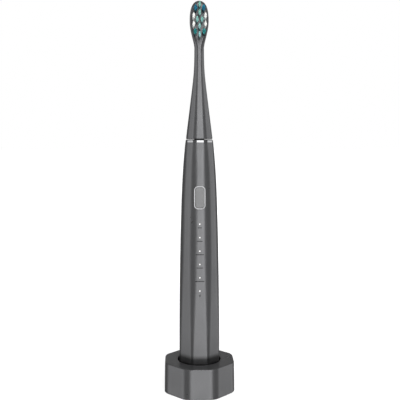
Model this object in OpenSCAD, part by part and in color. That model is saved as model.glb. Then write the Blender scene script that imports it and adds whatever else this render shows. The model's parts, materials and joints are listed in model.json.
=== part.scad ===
// Sonic toothbrush standing on its octagonal induction charger.
// Millimetres, +Z up, the front with the button faces -Y. The origin is the middle of the
// charger's footprint, on the surface that it stands on.

/* [Charger] */
// Width of the charger across two opposite flats, at its foot
base_width = 47.5; // [46:0.5:52]
// Height of the charger above the surface
base_height = 20.8; // [19.5:0.1:24]
// Inner radius of the round well that the handle stands in
well_radius = 14.7; // [14.5:0.1:15.5]
// Depth of the well
well_depth = 8.8; // [7.5:0.1:9]
// Radius of the charging post in the middle of the well
post_radius = 3.4; // [2.8:0.1:3.5]
// Bore of the gland that the mains lead enters by
gland_bore = 1.6; // [1.4:0.1:2]

/* [Handle] */
// Width of the handle across two opposite flats, at its widest
handle_width = 27; // [26.5:0.1:27.2]
// Height of the top of the handle's housing above the surface
handle_top = 168.9; // [166:0.1:172]
// Height of the bright collar ring
ring_height = 1.5; // [1:0.1:1.8]
// Height of the middle of the power button above the surface
button_z = 132.75; // [130:0.25:134]
// Width of the power button's rim
button_width = 7.4; // [7:0.1:7.8]
// Length of the power button's rim
button_length = 15.1; // [14:0.1:16]
// Radius of the corners of the power button's rim
button_corner = 2.5; // [1.8:0.1:2.6]
// How far the power button travels
button_travel = 0.4; // [0.2:0.05:0.4]
// Height of the middle of the lowest indicator light
light_z = 70.8; // [69:0.1:72]
// Spacing of the indicator lights
light_pitch = 8.9; // [8:0.1:9]

/* [Brush head] */
// Gap between the collar ring and the brush head
head_gap = 0.8; // [0.5:0.1:1.2]
// Width of the neck across two opposite flats, at its narrowest
neck_width = 6.3; // [5.8:0.1:7]
// Widest part of the oval head
head_width = 12.5; // [11.5:0.1:13.5]
// Height of the tip of the head above the surface
head_tip = 261.6; // [258:0.1:265]
// Length of the bristles beyond the face of the head
bristle_length = 9.5; // [8:0.5:11]

/* [Drive] */
// Radius of the steel drive shaft
shaft_radius = 1.9; // [1.7:0.05:2]
// Radial clearance of the shaft in its bushes and in the brush head
shaft_clearance = 0.03; // [0.02:0.01:0.06]

/* [Hidden] */
$fn = 48;
eps = 0.05;
sides = 8;
facet_angle = 360 / sides;
// How far the rounded corners reach, as a share of the half width across flats
low_reach = 1.058;
high_reach = 1.02;
soft_corner_z = 110;
head_reach = 1.043;
front_turn = facet_angle / 2;

// Charger
base_half = base_width / 2;
base_draft = 0.3;
edge_break = 0.5;
foot_gap = 0.4;
base_wall = 1.9;
base_inner_half = base_half - base_wall - 0.1;
cover_bottom = foot_gap + 0.1;
cover_top = 3;
well_floor = base_height - well_depth;
well_wall = 1.5;
well_underside = well_floor - 1.6;
post_height = well_depth - 1;
post_top = well_floor + post_height;
rod_radius = 2.2;
rod_bore = 2.3;
boss_place = 12.4;
boss_radius = 2.8;
screw_radius = 0.85;
screw_head_radius = 1.9;
screw_head_height = 1;
screw_tip = 10;
foot_radius = 4;
foot_height = 1;
gland_z = 6.5;
gland_neck = 2.6;
gland_flange = 3.5;
gland_length = 4.15;
gland_outer_y = base_half - 0.2;
board_z = 3.8;
board_thick = 1;

// Handle: the curve of its flats runs from the widest height up to the collar.
widest_z = 35;
curve_length = 134;
slow_taper = 5.8;
fast_taper = 2.7;
fast_power = 8;
handle_clearance = 0.05;
cap_bottom = well_floor + handle_clearance;
cap_joint = cap_bottom + 2.05;
stations = 14;
ring_top = handle_top + ring_height;
ring_bore = 7.5;
bore_radius = 11.2;
bore_straight_top = 100;
bore_waist = [145, 9.5];
bore_shoulder = [160, 8.4];
nose_bore = 6.5;
nose_top = 165.5;
seal_hole = 4;
gasket_outer = 8.8;
gasket_inner = 5.5;
gasket_thick = head_gap - 0.3;

// Button, in the frame of its own facet: x across, y inwards, z along the facet
rim_wall = 0.6;
rim_proud = 0.12;
rim_depth = 1.3;
button_play = 0.1;
button_proud = 0.05;
flange_depth = rim_depth + 0.05;
flange_thick = 0.35;
membrane_depth = 2.15;
membrane_thick = 0.35;
membrane_margin = 0.7;
stem_radius = 1;
plunger_radius = 0.9;
plunger_play = 0.06;
switch_depth = 2.95;
switch_height = 0.9;
switch_size = 4.4;

// Electronics in the handle
pcb_front = -8;
pcb_thick = 1;
pcb_width = 8;
pcb_bottom = 62;
pcb_top = 144.5;
lights = 6;
pipe_radius = 0.45;
pipe_hole = 0.5;
strip_front = -10.4;
strip_thick = 0.8;
strip_width = 3;
board_screws_at = [86, 104];
led_size = [1.2, 0.6, 1.4];

// Battery and chassis
battery_radius = 7;
battery_y = 0.8;
battery_bottom = 28;
battery_length = 49.5;
battery_top = battery_bottom + battery_length;
chassis_bottom = 26;
chassis_step = 99;
chassis_top = 158;
chassis_outer = 10.9;
chassis_inner = 9.5;
chassis_neck_outer = 8.2;
chassis_neck_inner = 6.7;
chassis_front = -6;

// Motor and shaft
motor_bottom = 112;
motor_top = 152;
motor_radius = 6.6;
motor_wall = 0.7;
bush_radius = 3.2;
bush_length = 4;
shaft_bottom = 107.5;
shaft_top = 193;
flat_start = 180.5;
flat_depth = 1.3;
rotor_bottom = 122;
rotor_top = 142;
core_radius = 2.7;
magnet_radius = 4.2;
coil_inner = 4.7;
coil_outer = 5.8;

// Brush head
head_bottom = ring_top + head_gap;
skirt_slope = 0.2515;
skirt_blend = 4.2;
skirt_end = 216.8;
neck_top = 232;
oval_bottom = 231;
oval_middle = 248.5;
oval_power = 2.5;
oval_lead = 0.82;
plate_front = -2.3;
plate_back = 2.6;
plate_step = 1.2;
tuft_root = 2;
tuft_tip = plate_front - bristle_length;
socket_top = 199.5;
socket_step = 186;
socket_bottom = 174;
socket_radius = 3.4;
// Middles of the tufts on the face of the head, as [x, z]
mint_tufts_at = [[0, 257.5], [0, 252.4], [-1.55, 248], [1.55, 248], [0, 243.7], [0, 238.5]];
white_tufts_at = [[-3.8, 250.4], [3.8, 250.4], [-3.8, 245.1], [3.8, 245.1]];
teal_tufts_at = [[-2.6, 255.4], [2.6, 255.4], [-2.85, 240.4], [2.85, 240.4]];
tuft_size = [2, 4.2];
teal_tuft_size = [2.5, 4];

// Half the handle's width across flats at height z
function handle_half(z) =
  let (u = max(0, z - widest_z) / curve_length)
  (handle_width - slow_taper * pow(u, 2) - fast_taper * pow(u, fast_power)) / 2;

// How far the handle's flats lean back at height z, in degrees
function facet_lean(z) = atan((handle_half(z - 1) - handle_half(z + 1)) / 2);

// Half the brush head's width across flats: a straight skirt that blends into the neck
function skirt_half(z) =
  (neck_width + skirt_slope * skirt_blend * ln(1 + exp((skirt_end - z) / skirt_blend))) / 2;

// Half the width of the oval head at height z, below its widest place
function oval_half(z) =
  let (t = pow((z - oval_bottom) / (oval_middle - oval_bottom), oval_lead))
  (neck_width + (head_width - neck_width) * (3 * pow(t, 2) - 2 * pow(t, 3))) / 2;

// The heights from z0 to z1 in n equal steps
function spaced(z0, z1, n) = [for (i = [0:n]) z0 + (z1 - z0) * i / n];

// How far the rounded corners reach at height z, as a share of half the width across flats:
// crisp at the charger, softer up the handle, crisp again on the ring and the head
function corner_reach(z) =
  z > handle_top - eps
    ? head_reach
    : low_reach - (low_reach - high_reach) * min(1, z / soft_corner_z);

// A body with eight flats and rounded corners, from a list of [height, half width]
module faceted_body(profile) {
  count = len(profile);
  outline = concat(
    [for (p = profile) [p[1], p[0]]],
    [for (i = [count - 1:-1:0]) [-profile[i][1], profile[i][0]]]
  );
  depth = 3 * max([for (p = profile) p[1]]);
  intersection() {
    intersection_for (k = [0:sides / 2 - 1])
      rotate([0, 0, k * facet_angle])
        rotate([90, 0, 0])
          linear_extrude(height = depth, center = true) polygon(outline);
    rotate_extrude()
      polygon(concat(
        [[0, profile[0][0]]],
        [for (p = profile) [p[1] * corner_reach(p[0]), p[0]]],
        [[0, profile[count - 1][0]]]
      ));
  }
}

// A straight sharp-cornered octagonal prism
module octagon_prism(half, z0, z1) {
  translate([0, 0, z0])
    rotate([0, 0, front_turn])
      cylinder(h = z1 - z0, r = half / cos(front_turn), $fn = sides);
}

// A cylinder about the Z axis between two heights
module post(radius, z0, z1) {
  translate([0, 0, z0]) cylinder(h = z1 - z0, r = radius);
}

// A ring about the Z axis between two heights
module ring(outer, inner, z0, z1) {
  difference() {
    post(outer, z0, z1);
    post(inner, z0 - eps, z1 + eps);
  }
}

// A box centred on x = 0
module slab(width, y0, y1, z0, z1) {
  translate([-width / 2, y0, z0]) cube([width, y1 - y0, z1 - z0]);
}

// A plate in step with the button's outline, in the frame of a facet, between two depths
module button_plate(width, length, y0, y1) {
  corner = button_corner - (button_width - width) / 2;
  for (size = [[width, length - 2 * corner], [width - 2 * corner, length]])
    translate([-size[0] / 2, y0, -size[1] / 2]) cube([size[0], y1 - y0, size[1]]);
  for (x = [-1, 1], z = [-1, 1])
    translate([x * (width / 2 - corner), y0, z * (length / 2 - corner)])
      rotate([-90, 0, 0]) cylinder(h = y1 - y0, r = corner);
}

// Places its children on the front facet of the handle at height z
module on_front(z) {
  translate([0, -handle_half(z), z]) rotate([-facet_lean(z), 0, 0]) children();
}

// A rod along Y between two depths
module cross_rod(radius, y0, y1, z) {
  translate([0, y0, z]) rotate([-90, 0, 0]) cylinder(h = y1 - y0, r = radius);
}

// Copies its children at the charger's four screws
module at_corners(place) {
  for (x = [-place, place], y = [-place, place]) translate([x, y, 0]) children();
}

// ---- Charger ----

module base_housing() color("dimgray") {
  difference() {
    faceted_body([
      [foot_gap, base_half - edge_break],
      [foot_gap + edge_break, base_half],
      [base_height - edge_break, base_half - base_draft],
      [base_height, base_half - base_draft - edge_break]
    ]);
    difference() {
      octagon_prism(base_inner_half, 0, base_height - base_wall);
      post(well_radius + well_wall, well_underside, base_height);
      at_corners(boss_place) post(boss_radius, cover_top, base_height);
    }
    difference() {
      post(well_radius, well_floor, base_height + eps);
      post(post_radius, 0, post_top);
    }
    post(rod_bore, 0, post_top - 0.8);
    at_corners(boss_place) post(screw_radius, 0, screw_tip + 1);
    cross_rod(gland_neck, base_inner_half - 1, base_half + 1, gland_z);
    cross_rod(gland_flange, gland_outer_y - 0.6, base_half + 1, gland_z);
  }
}

module base_cover() color([0.16, 0.16, 0.17]) {
  difference() {
    union() {
      octagon_prism(base_inner_half - 0.1, cover_bottom, cover_top);
      for (x = [-7, 7], y = [-11, 13]) translate([x, y, 0]) post(1.5, cover_top, board_z);
    }
    at_corners(boss_place) {
      post(foot_radius + 0.1, 0, foot_height);
      post(screw_head_radius + 0.2, 0, foot_height + screw_head_height);
      post(screw_radius + 0.35, 0, cover_top + 1);
    }
  }
}

module cover_screw() {
  head_top = foot_height + screw_head_height;
  difference() {
    union() {
      post(screw_head_radius, foot_height, head_top);
      post(screw_radius, head_top - eps, screw_tip);
    }
    for (a = [0, 90])
      rotate([0, 0, a]) slab(2.2, -0.25, 0.25, foot_height - eps, foot_height + 0.5);
  }
}

module cover_screws() color("silver") at_corners(boss_place) cover_screw();

module rubber_feet() color([0.1, 0.1, 0.1]) at_corners(boss_place) post(foot_radius, 0, foot_height);

module cord_gland() color([0.12, 0.12, 0.12]) {
  inner_y = gland_outer_y - gland_length;
  difference() {
    union() {
      cross_rod(gland_flange - 0.05, gland_outer_y - 0.6, gland_outer_y, gland_z);
      cross_rod(gland_neck, base_inner_half - eps, gland_outer_y - 0.3, gland_z);
      cross_rod(gland_flange - 0.1, inner_y, base_inner_half, gland_z);
    }
    cross_rod(gland_bore, inner_y - 1, gland_outer_y + 1, gland_z);
  }
}

module charger_board() color("darkgreen") {
  slab(18, -14, 16, board_z, board_z + board_thick);
}

module board_parts() color([0.2, 0.2, 0.22]) {
  top = board_z + board_thick;
  translate([0, -11.6, 0]) slab(5, -1.8, 1.8, top, top + 1.2);
  for (x = [-5, 5]) translate([x, 12.5, 0]) post(2, top, top + 4.5);
  translate([0, 13.5, 0]) slab(4, -1.6, 1.6, top, top + 2.4);
  for (x = [-7.6, 7.6]) translate([x, -12, 0]) slab(1.6, -0.6, 0.6, top, top + 0.8);
}

module coil_bobbin() color("ivory") {
  difference() {
    union() {
      post(10, 6.2, 7);
      post(4, 6.2, well_underside);
      post(10, well_underside - 0.8, well_underside);
    }
    post(rod_bore + 0.1, 6, well_underside + 1);
  }
}

module transmit_coil() color("chocolate") ring(9.4, 4, 7, well_underside - 0.8);

module ferrite_rod() color([0.25, 0.25, 0.25]) post(rod_radius, 6, post_top - 0.9);

// ---- Handle ----

// The space inside the handle's housing
module handle_bore() {
  rotate_extrude()
    polygon([
      [0, cap_joint - 1], [bore_radius, cap_joint - 1], [bore_radius, bore_straight_top],
      [bore_waist[1], bore_waist[0]], [bore_shoulder[1], bore_shoulder[0]],
      [nose_bore, bore_shoulder[0]], [nose_bore, nose_top], [seal_hole, nose_top],
      [seal_hole, ring_top + 1], [0, ring_top + 1]
    ]);
}

module handle_shell() color("dimgray") {
  difference() {
    union() {
      faceted_body([for (z = spaced(cap_joint, handle_top, stations)) [z, handle_half(z)]]);
      post(ring_bore, handle_top - 1, ring_top - 0.1);
    }
    handle_bore();
    on_front(button_z) {
      button_plate(button_width, button_length, -1, 4);
      button_plate(button_width + 2 * membrane_margin, button_length + 2 * membrane_margin,
              membrane_depth, 4);
    }
    for (i = [0:lights - 1])
      cross_rod(pipe_hole, -handle_half(light_z) - 1, -bore_radius + 2, light_z + i * light_pitch);
  }
}

module bottom_cap() color([0.2, 0.2, 0.21]) {
  plug_radius = bore_radius - 0.1;
  socket = post_radius + 0.35;
  socket_roof = post_top + 1.4;
  groove = plug_radius - 0.8;
  difference() {
    union() {
      faceted_body([
        [cap_bottom, handle_half(0) - edge_break],
        [cap_bottom + edge_break, handle_half(0)],
        [cap_joint, handle_half(0)]
      ]);
      difference() {
        post(plug_radius, cap_joint - eps, chassis_bottom);
        post(plug_radius - 1.8, cap_joint + 0.6, chassis_bottom + 1);
      }
      post(socket + 1.2, cap_joint - eps, socket_roof + 1.2);
    }
    post(socket, 0, socket_roof);
    ring(plug_radius + 1, groove, 17.8, 19.6);
  }
}

module cap_seal() color([0.1, 0.1, 0.1]) {
  translate([0, 0, 18.7]) rotate_extrude() translate([bore_radius - 0.45, 0]) circle(r = 0.44);
}

module collar_ring() color("silver") {
  difference() {
    faceted_body([
      [handle_top, handle_half(handle_top)],
      [ring_top - 0.5, handle_half(handle_top) - 0.06],
      [ring_top, handle_half(handle_top) - 0.4]
    ]);
    post(ring_bore, handle_top - 1, ring_top + 1);
  }
}

// A flat gasket on the collar ring that closes most of the gap below the brush head
module collar_gasket() color([0.1, 0.1, 0.1]) {
  ring(gasket_outer, gasket_inner, ring_top, ring_top + gasket_thick);
}

module shaft_seal() color([0.15, 0.15, 0.16]) {
  difference() {
    rotate_extrude()
      polygon([
        [0, 163.8], [6, 163.8], [6, nose_top], [seal_hole, nose_top],
        [seal_hole - 0.1, ring_top + 0.6], [2.7, ring_top + 2.4], [0, ring_top + 2.4]
      ]);
    post(shaft_radius + 0.1, 163, ring_top + 3);
  }
}

module button_rim() color("silver") {
  on_front(button_z)
    difference() {
      button_plate(button_width, button_length, -rim_proud, rim_depth);
      button_plate(button_width - 2 * rim_wall, button_length - 2 * rim_wall, -1, rim_depth + 1);
    }
}

module button_membrane() color([0.8, 0.8, 0.78]) {
  margin = 2 * (membrane_margin - 0.05);
  on_front(button_z)
    difference() {
      button_plate(button_width + margin, button_length + margin,
              membrane_depth, membrane_depth + membrane_thick);
      cross_rod(stem_radius + 0.15, membrane_depth - 1, membrane_depth + 2, 0);
    }
}

module power_button() color("gray") {
  inset = 2 * (rim_wall + button_play);
  on_front(button_z) {
    button_plate(button_width - inset, button_length - inset, -button_proud, flange_depth + eps);
    button_plate(button_width - 0.4, button_length - 0.4, flange_depth, flange_depth + flange_thick);
    cross_rod(stem_radius, flange_depth, membrane_depth + membrane_thick, 0);
  }
}

module switch_plunger() color("black") {
  on_front(button_z)
    cross_rod(plunger_radius, membrane_depth + membrane_thick, switch_depth, 0);
}

module tact_switch() color("silver") {
  half = switch_size / 2;
  difference() {
    slab(switch_size, pcb_front - switch_height, pcb_front, button_z - half, button_z + half);
    on_front(button_z)
      cross_rod(plunger_radius + plunger_play, -1, switch_depth + button_travel + 0.1, 0);
  }
}

module light_guide() color("whitesmoke") {
  slab(strip_width, strip_front, strip_front + strip_thick, light_z - 2,
       light_z + (lights - 1) * light_pitch + 2);
  for (i = [0:lights - 1]) {
    z = light_z + i * light_pitch;
    cross_rod(pipe_radius, -handle_half(z) - 0.02, strip_front + 0.1, z);
  }
}

module circuit_board() color("darkgreen") {
  difference() {
    slab(pcb_width, pcb_front, pcb_front + pcb_thick, pcb_bottom, pcb_top);
    for (z = board_screws_at) cross_rod(0.8, pcb_front - 1, 0, z);
  }
}

module indicator_leds() color("white") {
  for (i = [0:lights - 1]) {
    z = light_z + i * light_pitch;
    slab(led_size[0], pcb_front - led_size[1], pcb_front, z - led_size[2] / 2, z + led_size[2] / 2);
  }
}

module board_screws() color("silver") {
  for (z = board_screws_at) {
    cross_rod(1.4, pcb_front - 0.7, pcb_front, z);
    cross_rod(0.7, pcb_front - 0.1, -4.2, z);
  }
}

module chassis() color([0.85, 0.85, 0.83]) {
  difference() {
    union() {
      ring(chassis_outer, chassis_inner, chassis_bottom, chassis_step + 1);
      ring(chassis_neck_outer, chassis_neck_inner, chassis_step, chassis_top);
      post(chassis_inner + eps, chassis_bottom, battery_bottom - 0.4);
      post(chassis_inner + eps, battery_top + 0.4, battery_top + 2);
      post(chassis_inner + eps, chassis_step - 1, chassis_step + 1);
      for (z = [34, 52, 70])
        difference() {
          post(chassis_inner + eps, z, z + 1.6);
          translate([0, battery_y, 0]) post(battery_radius + 0.05, z - 1, z + 3);
        }
    }
    slab(30, -20, chassis_front, 0, 200);
    slab(2.6, -0.3, 0.3, chassis_step - 2, chassis_step + 2);
  }
  difference() {
    union() {
      for (z = board_screws_at) slab(5, pcb_front + pcb_thick, -5, z - 2, z + 2);
      slab(16, chassis_front - eps, -5, 84, chassis_step);
      slab(7, chassis_front - eps, -5, chassis_step, 106);
    }
    for (z = board_screws_at) cross_rod(0.7, pcb_front, -4.5, z);
  }
}

module battery_cell() color("royalblue") {
  translate([0, battery_y, 0]) {
    post(battery_radius, battery_bottom, battery_top - 1);
    post(battery_radius - 4, battery_top - 1 - eps, battery_top);
  }
}

module battery_tabs() color("silver") {
  slab(4, pcb_front + pcb_thick, 3, battery_top, battery_top + 0.25);
  slab(4, pcb_front + pcb_thick, 3, battery_bottom - 0.25, battery_bottom);
  slab(4, pcb_front + pcb_thick, pcb_front + pcb_thick + 0.25, battery_bottom - 0.25, pcb_bottom + 4);
}

module receive_coil() color("chocolate") ring(8.6, 5.2, cap_joint + 0.7, 19.9);

module receive_ferrite() color([0.25, 0.25, 0.25]) ring(9, 5.2, 20, 21);

module motor_can() color("lightgray") {
  ring(motor_radius, motor_radius - motor_wall, motor_bottom, motor_top);
}

// A bush holder at one end of the motor, with the hole for its bush
module motor_cap(z0, z1, boss0, boss1) {
  difference() {
    union() {
      post(motor_radius, z0, z1);
      post(bush_radius + 1, boss0, boss1);
    }
    post(bush_radius, boss0 - 1, boss1 + 1);
  }
}

module motor_front_cap() color("gray") motor_cap(motor_top, motor_top + 2, motor_top, chassis_top);

module motor_rear_cap() color("gray") {
  motor_cap(motor_bottom - 2, motor_bottom, motor_bottom - 2, motor_bottom + 3);
}

module stator_coils() color("chocolate") {
  for (start = [-50, 130])
    translate([0, 0, rotor_bottom])
      rotate([0, 0, start])
        rotate_extrude(angle = 100)
          translate([coil_inner, 0]) square([coil_outer - coil_inner, rotor_top - rotor_bottom]);
}

module shaft_bushes() color("peru") {
  bore = shaft_radius + shaft_clearance;
  ring(bush_radius, bore, chassis_top - bush_length, chassis_top);
  ring(bush_radius, bore, motor_bottom - 1, motor_bottom - 1 + bush_length);
}

module return_spring() color("silver") slab(2.4, -0.2, 0.2, chassis_step - 1, shaft_bottom + 1.5);

module drive_shaft() color("silver") {
  difference() {
    union() {
      post(shaft_radius, shaft_bottom, shaft_top - 0.5);
      translate([0, 0, shaft_top - 0.5])
        cylinder(h = 0.5, r1 = shaft_radius, r2 = shaft_radius - 0.4);
    }
    translate([flat_depth, -5, flat_start]) cube([5, 10, 20]);
    slab(5, -0.5, 0.5, shaft_bottom - 1, shaft_bottom + 2);
  }
}

module rotor_core() color("gray") ring(core_radius, shaft_radius, rotor_bottom - 3, rotor_top + 3);

module rotor_magnets() color("darkgray") {
  for (start = [50, 230])
    translate([0, 0, rotor_bottom])
      rotate([0, 0, start])
        rotate_extrude(angle = 80)
          translate([core_radius, 0]) square([magnet_radius - core_radius, rotor_top - rotor_bottom]);
}

// ---- Brush head ----

// The outline of the oval head, seen from the front
module oval_outline(inset) {
  half = head_width / 2 - inset;
  rise = head_tip - inset - oval_middle;
  right = concat(
    [for (z = spaced(oval_bottom, oval_middle, 12)) [oval_half(z) - inset, z]],
    [for (a = [9:9:81]) [
      half * pow(cos(a), 2 / oval_power),
      oval_middle + rise * pow(sin(a), 2 / oval_power)
    ]]
  );
  left = [for (i = [len(right) - 1:-1:0]) [-right[i][0], right[i][1]]];
  polygon(concat(right, [[0, head_tip - inset]], left));
}

// A slab of the oval head between two depths
module oval_slab(inset, y0, y1) {
  translate([0, y1, 0]) rotate([90, 0, 0]) linear_extrude(height = y1 - y0) oval_outline(inset);
}

// A tuft with a pointed oval section, standing at one place on the face of the head
module tuft(place, size, y0, y1) {
  radius = (pow(size[1], 2) + pow(size[0], 2)) / (4 * size[0]);
  shift = radius - size[0] / 2;
  translate([place[0], y1, place[1]])
    rotate([90, 0, 0])
      linear_extrude(height = y1 - y0)
        intersection() {
          translate([shift, 0]) circle(r = radius);
          translate([-shift, 0]) circle(r = radius);
        }
}

module tufts(places, size, y0, y1) {
  for (place = places) tuft(place, size, y0, y1);
}

module head_shell() color("dimgray") {
  root = plate_front + tuft_root + 0.4;
  difference() {
    union() {
      faceted_body(concat(
        [[head_bottom, skirt_half(head_bottom) - 0.45]],
        [for (z = spaced(head_bottom + 0.9, neck_top, 13)) [z, skirt_half(z)]]
      ));
      oval_slab(0, plate_front, plate_step);
      oval_slab(0.7, plate_step - eps, plate_back);
    }
    rotate_extrude()
      polygon([
        [0, head_bottom - 1], [7.1, head_bottom - 1], [7.1, head_bottom], [5.2, socket_step],
        [socket_radius, socket_step], [socket_radius, socket_top], [0, socket_top]
      ]);
    tufts(mint_tufts_at, tuft_size, plate_front - 1, root);
    tufts(white_tufts_at, tuft_size, plate_front - 1, root);
    tufts(teal_tufts_at, teal_tuft_size, plate_front - 1, root);
  }
}

module drive_socket() color([0.9, 0.9, 0.88]) {
  bore = shaft_radius + shaft_clearance;
  d_start = flat_start + 0.5;
  difference() {
    union() {
      post(socket_radius - 0.4, socket_bottom, socket_step);
      post(socket_radius, socket_step - eps, socket_top);
    }
    post(bore, socket_bottom - 1, d_start);
    difference() {
      post(bore, d_start - eps, shaft_top + 1);
      translate([flat_depth + shaft_clearance, -5, d_start]) cube([5, 10, 20]);
    }
  }
}

module mint_tufts() color("mediumaquamarine") {
  tufts(mint_tufts_at, tuft_size, tuft_tip, plate_front + tuft_root);
}

module white_tufts() color("white") {
  tufts(white_tufts_at, tuft_size, tuft_tip, plate_front + tuft_root);
}

module teal_tufts() color("teal") {
  tufts(teal_tufts_at, teal_tuft_size, tuft_tip, plate_front + tuft_root);
}

module tuft_anchors() color("goldenrod") {
  for (place = concat(mint_tufts_at, white_tufts_at, teal_tufts_at))
    translate([place[0], 0, place[1]])
      slab(0.4, plate_front + tuft_root, plate_front + tuft_root + 0.4, -1.3, 1.3);
}

base_housing();
base_cover();
cover_screws();
rubber_feet();
cord_gland();
charger_board();
board_parts();
coil_bobbin();
transmit_coil();
ferrite_rod();
handle_shell();
bottom_cap();
cap_seal();
collar_ring();
collar_gasket();
shaft_seal();
button_rim();
button_membrane();
light_guide();
circuit_board();
indicator_leds();
tact_switch();
board_screws();
chassis();
battery_cell();
battery_tabs();
receive_coil();
receive_ferrite();
motor_can();
motor_front_cap();
motor_rear_cap();
stator_coils();
shaft_bushes();
return_spring();
power_button();
switch_plunger();
drive_shaft();
rotor_core();
rotor_magnets();
head_shell();
drive_socket();
mint_tufts();
white_tufts();
teal_tufts();
tuft_anchors();
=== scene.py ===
"""A sonic toothbrush standing on its octagonal charger.

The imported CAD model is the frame. The shells, the bright trim, the outer rubber pieces and the
bristles are rebuilt here as finer meshes, and the other CAD pieces stay and get better materials.
Shapes are worked out in millimetres and turned into metres when their mesh is made.
"""
import json
import math
import random

import bmesh
import bpy
from mathutils import Matrix, Vector


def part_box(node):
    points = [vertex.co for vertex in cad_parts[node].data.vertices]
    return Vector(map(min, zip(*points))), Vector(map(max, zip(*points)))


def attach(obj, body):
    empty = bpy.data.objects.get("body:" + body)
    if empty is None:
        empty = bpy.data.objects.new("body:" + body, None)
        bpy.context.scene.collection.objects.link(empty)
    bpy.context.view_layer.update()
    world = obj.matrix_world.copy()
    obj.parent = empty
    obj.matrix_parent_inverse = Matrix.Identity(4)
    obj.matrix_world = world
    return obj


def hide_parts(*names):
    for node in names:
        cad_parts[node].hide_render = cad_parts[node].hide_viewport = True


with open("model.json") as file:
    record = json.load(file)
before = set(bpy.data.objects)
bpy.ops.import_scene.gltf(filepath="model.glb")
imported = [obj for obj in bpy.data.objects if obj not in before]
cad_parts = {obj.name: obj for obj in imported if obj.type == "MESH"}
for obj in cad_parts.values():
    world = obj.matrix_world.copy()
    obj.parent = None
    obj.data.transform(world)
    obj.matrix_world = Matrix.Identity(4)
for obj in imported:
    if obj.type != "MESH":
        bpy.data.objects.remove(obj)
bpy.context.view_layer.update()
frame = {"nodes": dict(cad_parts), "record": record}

MM = 0.001


def box_mm(node):
    """The lowest and highest corners of a CAD node, in millimetres."""
    low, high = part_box(node)
    return low / MM, high / MM


def islands(node):
    """The boxes, in millimetres, of the separate solids in one CAD node."""
    mesh = frame["nodes"][node].data
    parent = list(range(len(mesh.vertices)))

    def root(i):
        """The vertex that stands for the whole solid of vertex i."""
        while parent[i] != i:
            parent[i] = parent[parent[i]]
            i = parent[i]
        return i

    # Vertices at one place, to a thousandth of a millimetre, are in the same solid.
    finest = MM / 1000
    places = {}
    for vertex in mesh.vertices:
        key = tuple(round(c / finest) for c in vertex.co)
        parent[root(vertex.index)] = root(places.setdefault(key, vertex.index))
    for edge in mesh.edges:
        parent[root(edge.vertices[0])] = root(edge.vertices[1])
    groups = {}
    for vertex in mesh.vertices:
        groups.setdefault(root(vertex.index), []).append(vertex.co / MM)
    boxes = []
    for points in groups.values():
        low = Vector([min(p[k] for p in points) for k in range(3)])
        high = Vector([max(p[k] for p in points) for k in range(3)])
        boxes.append((low, high))
    return sorted(boxes, key=lambda b: (round(b[0].z, 3), round(b[0].x, 3)))


# ---------------------------------------------------------------- sizes, in millimetres

# A half is half of a width. A corner is a radius, but BASE_CORNER, CRISP_CORNER, RING_CORNER
# and SKIRT_CORNER are shares of a half.

BASE_LOW, BASE_HIGH = box_mm("base_housing")
BASE_HALF = BASE_HIGH.x
BASE_DRAFT = 0.3
BASE_CORNER = 0.38
BASE_EDGE = 0.55
COVER_HALF = box_mm("base_cover")[1].x + 0.1
WELL_RADIUS = 14.7
WELL_FLOOR = box_mm("bottom_cap")[0].z - 0.05
WELL_SKIN_RADIUS = 16.2
WELL_UNDERSIDE = box_mm("coil_bobbin")[1].z
POST_RADIUS = 3.4
POST_TOP = box_mm("ferrite_rod")[1].z + 0.9
ROD_BORE = 2.3
GLAND_HOLE = 2.6
GLAND_BORE = 1.6
GLAND_FLANGE = 0.6

SHELL_BOTTOM = box_mm("handle_shell")[0].z
HANDLE_HALF = box_mm("handle_shell")[1].x
RING_BOTTOM = box_mm("collar_ring")[0].z
RING_TOP = box_mm("collar_ring")[1].z
RING_HALF = box_mm("collar_ring")[1].x
RING_CORNER = 0.6
SPIGOT_RADIUS = 7.5
SPIGOT_TOP = RING_TOP - 0.1
SEAL_RADIUS = 6
SEAL_LEDGE = 165.5
WIDEST_Z = 35
FAST_TAPER = 1.35
SLOW_TAPER = HANDLE_HALF - RING_HALF - FAST_TAPER
CRISP_CORNER = 0.25
# The radius and height of each step down the inside of the handle, from the seal to the foot.
HANDLE_BORE = ((6.5, SEAL_LEDGE), (6.5, 160), (8.4, 160), (9.5, 145), (11.2, 100))
# Painted shade at the handle's foot: the paint is nearly black up to FOOT_DARK and turns grey
# by FOOT_FADE. A faint painted shade goes on above that, up to SHADE_TOP.
FOOT_DARK = 24.3
FOOT_FADE = 27.2
SHADE_TOP = WIDEST_Z + 8
# The colour of the painted shade at the handle's foot.
FOOT_SHADE_COLOR = (0.045, 0.045, 0.046)

BUTTON_LOW, BUTTON_HIGH = box_mm("button_rim")
BUTTON_Z = (BUTTON_LOW.z + BUTTON_HIGH.z) / 2
BUTTON_HALF = BUTTON_HIGH.x
BUTTON_LENGTH = 15.1
BUTTON_CORNER = 2.5
RIM_WALL = 0.6
RIM_PROUD = 0.12
RIM_DEPTH = 1.3
POCKET_FLOOR = 4
RECESS_TOP = 2.15
LIGHT_HOLE = 0.5
LENS_RADIUS = 0.46
PRINT_THICK = 0.03
PRINT_SUNK = 0.05

HEAD_LOW, HEAD_HIGH = box_mm("head_shell")
HEAD_TIP = HEAD_HIGH.z
NECK_HALF = 3.15
SKIRT_SLOPE = 0.12575
SKIRT_BLEND = 4.2
SKIRT_END = 216.8
SKIRT_CORNER = 0.58
SOCKET_RADIUS = 3.4
SOCKET_TOP = 199.5
CAVITY_TOP = 186
OVAL_BOTTOM = 231
OVAL_MIDDLE = 248.5
OVAL_HALF = 6.25
OVAL_POWER = 2.5
OVAL_LEAD = 0.82
PLATE_START = 226
PLATE_END = 240
PLATE_FRONT = 2.3
PLATE_BACK = 2.6
PLATE_RIM = 1.7
PLATE_FALL = 0.8
PLATE_CORNER = 2.2

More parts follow.
